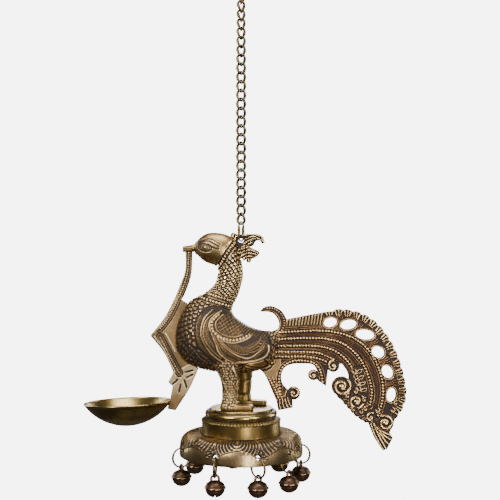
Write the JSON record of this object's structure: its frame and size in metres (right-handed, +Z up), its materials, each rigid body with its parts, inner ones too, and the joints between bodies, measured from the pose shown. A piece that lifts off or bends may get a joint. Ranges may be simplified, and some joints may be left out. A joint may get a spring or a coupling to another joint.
{
  "type": "hanging oil lamp",
  "caption": "Hanging brass oil lamp: a cast peacock on a round bell-hung base holds a shallow oil bowl on a stem at its beak, and hangs by its crest from a curb chain.",
  "frame": {"origin": "the point where the top hook bears on the bar or ceiling hook that carries it", "axes": "+Z up along the hanging chain, -X the way the bird faces, -Y the bird's left side"},
  "size_m": [0.2743, 0.1156, 0.4562],
  "materials": {
    "cast_brass": "cast, dark patina in the recesses, rubbed bright on the relief",
    "stem_brass": "cast and hand filed, satin",
    "tail_brass": "cast openwork, red-brown patina, rubbed ridges",
    "turned_brass": "turned and polished, olive gold",
    "skirt_brass": "cast petals with dark grooves over a polished band",
    "chain_brass": "drawn wire, antique",
    "bell_brass": "dark copper-brown patina",
    "pellet_iron": "plain iron"
  },
  "bodies": {
    "hook": {"top_hook": "chain_brass"},
    "chain_link_01": {"chain_link_01": "chain_brass"},
    "chain_link_02": {"chain_link_02": "chain_brass"},
    "chain_link_03": {"chain_link_03": "chain_brass"},
    "chain_link_04": {"chain_link_04": "chain_brass"},
    "chain_link_05": {"chain_link_05": "chain_brass"},
    "chain_link_06": {"chain_link_06": "chain_brass"},
    "chain_link_07": {"chain_link_07": "chain_brass"},
    "chain_link_08": {"chain_link_08": "chain_brass"},
    "chain_link_09": {"chain_link_09": "chain_brass"},
    "chain_link_10": {"chain_link_10": "chain_brass"},
    "chain_link_11": {"chain_link_11": "chain_brass"},
    "chain_link_12": {"chain_link_12": "chain_brass"},
    "chain_link_13": {"chain_link_13": "chain_brass"},
    "chain_link_14": {"chain_link_14": "chain_brass"},
    "chain_link_15": {"chain_link_15": "chain_brass"},
    "chain_link_16": {"chain_link_16": "chain_brass"},
    "chain_link_17": {"chain_link_17": "chain_brass"},
    "chain_link_18": {"chain_link_18": "chain_brass"},
    "chain_link_19": {"chain_link_19": "chain_brass"},
    "chain_link_20": {"chain_link_20": "chain_brass"},
    "chain_link_21": {"chain_link_21": "chain_brass"},
    "chain_link_22": {"chain_link_22": "chain_brass"},
    "chain_link_23": {"chain_link_23": "chain_brass"},
    "chain_link_24": {"chain_link_24": "chain_brass"},
    "chain_link_25": {"chain_link_25": "chain_brass"},
    "chain_link_26": {"chain_link_26": "chain_brass"},
    "crest_ring": {"crest_ring": "chain_brass"},
    "lamp": {"head_crest": "cast_brass", "peacock_body": "cast_brass", "tail_plate": "tail_brass", "ladle_stem": "stem_brass", "oil_bowl": "turned_brass", "foot_plinth": "turned_brass", "petal_skirt": "skirt_brass", "base_nut": "turned_brass"},
    "bell_ring_1": {"bell_ring_1": "chain_brass"},
    "bell_1": {"bell_1": "bell_brass"},
    "bell_pellet_1": {"bell_pellet_1": "pellet_iron"},
    "bell_ring_2": {"bell_ring_2": "chain_brass"},
    "bell_2": {"bell_2": "bell_brass"},
    "bell_pellet_2": {"bell_pellet_2": "pellet_iron"},
    "bell_ring_3": {"bell_ring_3": "chain_brass"},
    "bell_3": {"bell_3": "bell_brass"},
    "bell_pellet_3": {"bell_pellet_3": "pellet_iron"},
    "bell_ring_4": {"bell_ring_4": "chain_brass"},
    "bell_4": {"bell_4": "bell_brass"},
    "bell_pellet_4": {"bell_pellet_4": "pellet_iron"},
    "bell_ring_5": {"bell_ring_5": "chain_brass"},
    "bell_5": {"bell_5": "bell_brass"},
    "bell_pellet_5": {"bell_pellet_5": "pellet_iron"},
    "bell_ring_6": {"bell_ring_6": "chain_brass"},
    "bell_6": {"bell_6": "bell_brass"},
    "bell_pellet_6": {"bell_pellet_6": "pellet_iron"},
    "bell_ring_7": {"bell_ring_7": "chain_brass"},
    "bell_7": {"bell_7": "bell_brass"},
    "bell_pellet_7": {"bell_pellet_7": "pellet_iron"},
    "bell_ring_8": {"bell_ring_8": "chain_brass"},
    "bell_8": {"bell_8": "bell_brass"},
    "bell_pellet_8": {"bell_pellet_8": "pellet_iron"}
  },
  "joints": [
    {"name": "link_01_swing", "type": "hinge", "parent": "hook", "child": "chain_link_01", "pos_m": [0, 0, -0.03925], "axis": [-0.2284, 0.9736, 0], "range_deg": [-25, 25]},
    {"name": "link_02_swing", "type": "hinge", "parent": "chain_link_01", "child": "chain_link_02", "pos_m": [0, 0, -0.0444], "axis": [0.9888, 0.1495, 0], "range_deg": [-25, 25]},
    {"name": "link_03_swing", "type": "hinge", "parent": "chain_link_02", "child": "chain_link_03", "pos_m": [0, 0, -0.05395], "axis": [0.0454, -0.999, 0], "range_deg": [-25, 25]},
    {"name": "link_04_swing", "type": "hinge", "parent": "chain_link_03", "child": "chain_link_04", "pos_m": [0, 0, -0.0594], "axis": [-0.9999, 0.0105, 0], "range_deg": [-25, 25]},
    {"name": "link_05_swing", "type": "hinge", "parent": "chain_link_04", "child": "chain_link_05", "pos_m": [0, 0, -0.06895], "axis": [0.1149, 0.9934, 0], "range_deg": [-25, 25]},
    {"name": "link_06_swing", "type": "hinge", "parent": "chain_link_05", "child": "chain_link_06", "pos_m": [0, 0, -0.0744], "axis": [0.9854, -0.1702, 0], "range_deg": [-25, 25]},
    {"name": "link_07_swing", "type": "hinge", "parent": "chain_link_06", "child": "chain_link_07", "pos_m": [0, 0, -0.08395], "axis": [-0.2723, -0.9622, 0], "range_deg": [-25, 25]},
    {"name": "link_08_swing", "type": "hinge", "parent": "chain_link_07", "child": "chain_link_08", "pos_m": [0, 0, -0.0894], "axis": [-0.9455, 0.3256, 0], "range_deg": [-25, 25]},
    {"name": "link_09_swing", "type": "hinge", "parent": "chain_link_08", "child": "chain_link_09", "pos_m": [0, 0, -0.09895], "axis": [0.4226, 0.9063, 0], "range_deg": [-25, 25]},
    {"name": "link_10_swing", "type": "hinge", "parent": "chain_link_09", "child": "chain_link_10", "pos_m": [0, 0, -0.1044], "axis": [0.8813, -0.4726, 0], "range_deg": [-25, 25]},
    {"name": "link_11_swing", "type": "hinge", "parent": "chain_link_10", "child": "chain_link_11", "pos_m": [0, 0, -0.11395], "axis": [-0.5621, -0.8271, 0], "range_deg": [-25, 25]},
    {"name": "link_12_swing", "type": "hinge", "parent": "chain_link_11", "child": "chain_link_12", "pos_m": [0, 0, -0.1194], "axis": [-0.7944, 0.6074, 0], "range_deg": [-25, 25]},
    {"name": "link_13_swing", "type": "hinge", "parent": "chain_link_12", "child": "chain_link_13", "pos_m": [0, 0, -0.12895], "axis": [0.6871, 0.7266, 0], "range_deg": [-25, 25]},
    {"name": "link_14_swing", "type": "hinge", "parent": "chain_link_13", "child": "chain_link_14", "pos_m": [0, 0, -0.1344], "axis": [0.7431, -0.6691, 0], "range_deg": [-25, 25]},
    {"name": "link_15_swing", "type": "hinge", "parent": "chain_link_14", "child": "chain_link_15", "pos_m": [0, 0, -0.14395], "axis": [-0.7431, -0.6691, 0], "range_deg": [-25, 25]},
    {"name": "link_16_swing", "type": "hinge", "parent": "chain_link_15", "child": "chain_link_16", "pos_m": [0, 0, -0.1494], "axis": [-0.7431, 0.6691, 0], "range_deg": [-25, 25]},
    {"name": "link_17_swing", "type": "hinge", "parent": "chain_link_16", "child": "chain_link_17", "pos_m": [0, 0, -0.15895], "axis": [0.7431, 0.6691, 0], "range_deg": [-25, 25]},
    {"name": "link_18_swing", "type": "hinge", "parent": "chain_link_17", "child": "chain_link_18", "pos_m": [0, 0, -0.1644], "axis": [0.7431, -0.6691, 0], "range_deg": [-25, 25]},
    {"name": "link_19_swing", "type": "hinge", "parent": "chain_link_18", "child": "chain_link_19", "pos_m": [0, 0, -0.17395], "axis": [-0.7431, -0.6691, 0], "range_deg": [-25, 25]},
    {"name": "link_20_swing", "type": "hinge", "parent": "chain_link_19", "child": "chain_link_20", "pos_m": [0, 0, -0.1794], "axis": [-0.7431, 0.6691, 0], "range_deg": [-25, 25]},
    {"name": "link_21_swing", "type": "hinge", "parent": "chain_link_20", "child": "chain_link_21", "pos_m": [0, 0, -0.18895], "axis": [0.7431, 0.6691, 0], "range_deg": [-25, 25]},
    {"name": "link_22_swing", "type": "hinge", "parent": "chain_link_21", "child": "chain_link_22", "pos_m": [0, 0, -0.1944], "axis": [0.7431, -0.6691, 0], "range_deg": [-25, 25]},
    {"name": "link_23_swing", "type": "hinge", "parent": "chain_link_22", "child": "chain_link_23", "pos_m": [0, 0, -0.20395], "axis": [-0.7431, -0.6691, 0], "range_deg": [-25, 25]},
    {"name": "link_24_swing", "type": "hinge", "parent": "chain_link_23", "child": "chain_link_24", "pos_m": [0, 0, -0.2094], "axis": [-0.7431, 0.6691, 0], "range_deg": [-25, 25]},
    {"name": "link_25_swing", "type": "hinge", "parent": "chain_link_24", "child": "chain_link_25", "pos_m": [0, 0, -0.21895], "axis": [0.7431, 0.6691, 0], "range_deg": [-25, 25]},
    {"name": "link_26_swing", "type": "hinge", "parent": "chain_link_25", "child": "chain_link_26", "pos_m": [0, 0, -0.2244], "axis": [0.309, -0.9511, 0], "range_deg": [-25, 25]},
    {"name": "crest_ring_swing", "type": "hinge", "parent": "chain_link_26", "child": "crest_ring", "pos_m": [0, 0, -0.23395], "axis": [-0.9781, -0.2079, 0], "range_deg": [-20, 20]},
    {"name": "lamp_pitch", "type": "hinge", "parent": "crest_ring", "child": "lamp", "pos_m": [0, 0, -0.24835], "axis": [0, 1, 0], "range_deg": [-12, 12]},
    {"name": "bell_ring_1_swing", "type": "hinge", "parent": "lamp", "child": "bell_ring_1", "pos_m": [-0.04281, 0.0278, -0.42195], "axis": [-0.8387, 0.5446, 0], "range_deg": [-18, 18]},
    {"name": "bell_1_swing", "type": "hinge", "parent": "bell_ring_1", "child": "bell_1", "pos_m": [-0.04281, 0.0278, -0.43605], "axis": [-0.5446, -0.8387, 0], "range_deg": [-25, 25]},
    {"name": "bell_pellet_1_rattle", "type": "slide", "parent": "bell_1", "child": "bell_pellet_1", "axis": [0, 0, 1], "range_m": [0, 0.007]},
    {"name": "bell_ring_2_swing", "type": "hinge", "parent": "lamp", "child": "bell_ring_2", "pos_m": [-0.04907, -0.01407, -0.42195], "axis": [-0.8829, -0.4695, 0], "range_deg": [-18, 18]},
    {"name": "bell_2_swing", "type": "hinge", "parent": "bell_ring_2", "child": "bell_2", "pos_m": [-0.04907, -0.01407, -0.43605], "axis": [0.4695, -0.8829, 0], "range_deg": [-25, 25]},
    {"name": "bell_pellet_2_rattle", "type": "slide", "parent": "bell_2", "child": "bell_pellet_2", "axis": [0, 0, 1], "range_m": [0, 0.007]},
    {"name": "bell_ring_3_swing", "type": "hinge", "parent": "lamp", "child": "bell_ring_3", "pos_m": [-0.01746, -0.04797, -0.42195], "axis": [-0.0349, -0.9994, 0], "range_deg": [-18, 18]},
    {"name": "bell_3_swing", "type": "hinge", "parent": "bell_ring_3", "child": "bell_3", "pos_m": [-0.01746, -0.04797, -0.43605], "axis": [0.9994, -0.0349, 0], "range_deg": [-25, 25]},
    {"name": "bell_pellet_3_rattle", "type": "slide", "parent": "bell_3", "child": "bell_pellet_3", "axis": [0, 0, 1], "range_m": [0, 0.007]},
    {"name": "bell_ring_4_swing", "type": "hinge", "parent": "lamp", "child": "bell_ring_4", "pos_m": [0.01696, -0.04815, -0.42195], "axis": [0.7361, -0.6769, 0], "range_deg": [-18, 18]},
    {"name": "bell_4_swing", "type": "hinge", "parent": "bell_ring_4", "child": "bell_4", "pos_m": [0.01696, -0.04815, -0.43605], "axis": [0.6769, 0.7361, 0], "range_deg": [-25, 25]},
    {"name": "bell_pellet_4_rattle", "type": "slide", "parent": "bell_4", "child": "bell_pellet_4", "axis": [0, 0, 1], "range_m": [0, 0.007]},
    {"name": "bell_ring_5_swing", "type": "hinge", "parent": "lamp", "child": "bell_ring_5", "pos_m": [0.0413, -0.03001, -0.42195], "axis": [0.8988, -0.4384, 0], "range_deg": [-18, 18]},
    {"name": "bell_5_swing", "type": "hinge", "parent": "bell_ring_5", "child": "bell_5", "pos_m": [0.0413, -0.03001, -0.43605], "axis": [0.4384, 0.8988, 0], "range_deg": [-25, 25]},
    {"name": "bell_pellet_5_rattle", "type": "slide", "parent": "bell_5", "child": "bell_pellet_5", "axis": [0, 0, 1], "range_m": [0, 0.007]},
    {"name": "bell_ring_6_swing", "type": "hinge", "parent": "lamp", "child": "bell_ring_6", "pos_m": [0.05067, 0.00622, -0.42195], "axis": [0.9903, -0.1392, 0], "range_deg": [-18, 18]},
    {"name": "bell_6_swing", "type": "hinge", "parent": "bell_ring_6", "child": "bell_6", "pos_m": [0.05067, 0.00622, -0.43605], "axis": [0.1392, 0.9903, 0], "range_deg": [-25, 25]},
    {"name": "bell_pellet_6_rattle", "type": "slide", "parent": "bell_6", "child": "bell_pellet_6", "axis": [0, 0, 1], "range_m": [0, 0.007]},
    {"name": "bell_ring_7_swing", "type": "hinge", "parent": "lamp", "child": "bell_ring_7", "pos_m": [0.03143, 0.04023, -0.42195], "axis": [0.6157, 0.788, 0], "range_deg": [-18, 18]},
    {"name": "bell_7_swing", "type": "hinge", "parent": "bell_ring_7", "child": "bell_7", "pos_m": [0.03143, 0.04023, -0.43605], "axis": [-0.788, 0.6157, 0], "range_deg": [-25, 25]},
    {"name": "bell_pellet_7_rattle", "type": "slide", "parent": "bell_7", "child": "bell_pellet_7", "axis": [0, 0, 1], "range_m": [0, 0.007]},
    {"name": "bell_ring_8_swing", "type": "hinge", "parent": "lamp", "child": "bell_ring_8", "pos_m": [-0.01061, 0.04993, -0.42195], "axis": [-0.3746, 0.9272, 0], "range_deg": [-18, 18]},
    {"name": "bell_8_swing", "type": "hinge", "parent": "bell_ring_8", "child": "bell_8", "pos_m": [-0.01061, 0.04993, -0.43605], "axis": [-0.9272, -0.3746, 0], "range_deg": [-25, 25]},
    {"name": "bell_pellet_8_rattle", "type": "slide", "parent": "bell_8", "child": "bell_pellet_8", "axis": [0, 0, 1], "range_m": [0, 0.007]}
  ]
}
